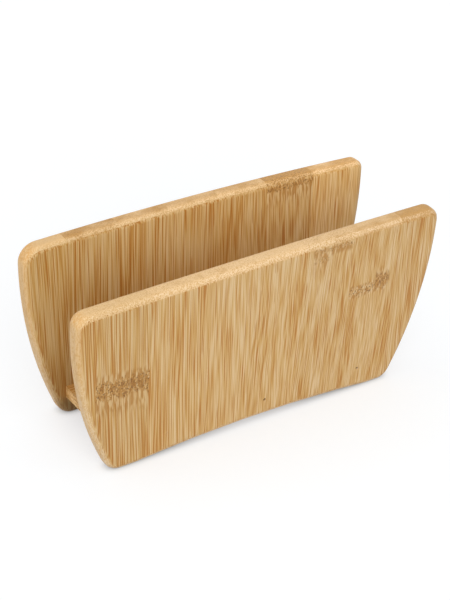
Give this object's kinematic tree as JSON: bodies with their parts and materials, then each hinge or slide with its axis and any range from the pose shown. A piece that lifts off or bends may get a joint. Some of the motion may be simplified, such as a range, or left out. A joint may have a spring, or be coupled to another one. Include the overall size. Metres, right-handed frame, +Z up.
{
  "type": "napkin holder",
  "caption": "Upright bamboo napkin holder: tapered boards with crowned tops lean slightly apart on a narrow raised base, and napkins stand between them.",
  "frame": {"origin": "on the table, midway between the two boards and midway along them", "axes": "+X along the boards, +Y from the front board to the back board, +Z up"},
  "size_m": [0.18, 0.0591, 0.0867],
  "materials": {
    "front_bamboo": "satin",
    "back_bamboo": "satin",
    "base_bamboo": "satin",
    "pin_steel": "satin"
  },
  "bodies": {
    "root": {"front_stave_1": "front_bamboo", "front_stave_2": "front_bamboo", "front_stave_3": "front_bamboo", "front_stave_4": "front_bamboo", "front_stave_5": "front_bamboo", "front_stave_6": "front_bamboo", "front_stave_7": "front_bamboo", "front_stave_8": "front_bamboo", "back_stave_1": "back_bamboo", "back_stave_2": "back_bamboo", "back_stave_3": "back_bamboo", "back_stave_4": "back_bamboo", "back_stave_5": "back_bamboo", "back_stave_6": "back_bamboo", "back_stave_7": "back_bamboo", "back_stave_8": "back_bamboo", "base_strip_front": "base_bamboo", "base_strip_back": "base_bamboo", "front_pins": "pin_steel", "back_pins": "pin_steel"}
  },
  "joints": []
}
